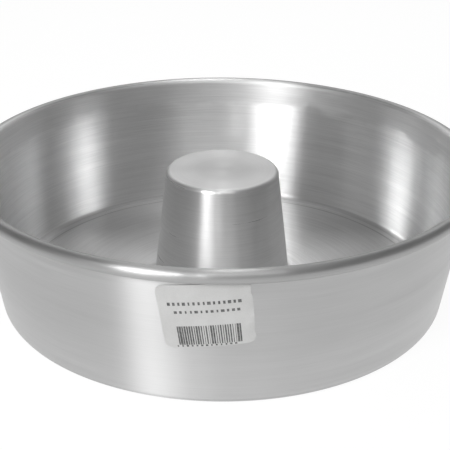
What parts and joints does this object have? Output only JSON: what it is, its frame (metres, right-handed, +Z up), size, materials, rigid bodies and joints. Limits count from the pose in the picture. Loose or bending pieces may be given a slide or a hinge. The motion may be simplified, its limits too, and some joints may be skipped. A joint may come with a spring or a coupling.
{
  "type": "ring cake pan",
  "caption": "Round aluminium ring cake pan with a leaning wall, a rolled edge, a closed cone in the middle and a plain paper label on the outside.",
  "frame": {"origin": "centre of the flat underside, on the pan's axis, at the height of the table it stands on", "axes": "+Z up along the pan's axis, out of its mouth, and -Z out of its flat underside, which is the mount; -Y towards the side that carries the label; +X to the right as seen from that side"},
  "size_m": [0.2124, 0.2124, 0.06],
  "materials": {
    "spun_aluminium": "satin, with fine circular spinning marks",
    "label_paper": "smooth white label paper with plain grey print"
  },
  "bodies": {
    "root": {"pan_body": "spun_aluminium", "price_label": "label_paper"}
  },
  "joints": []
}
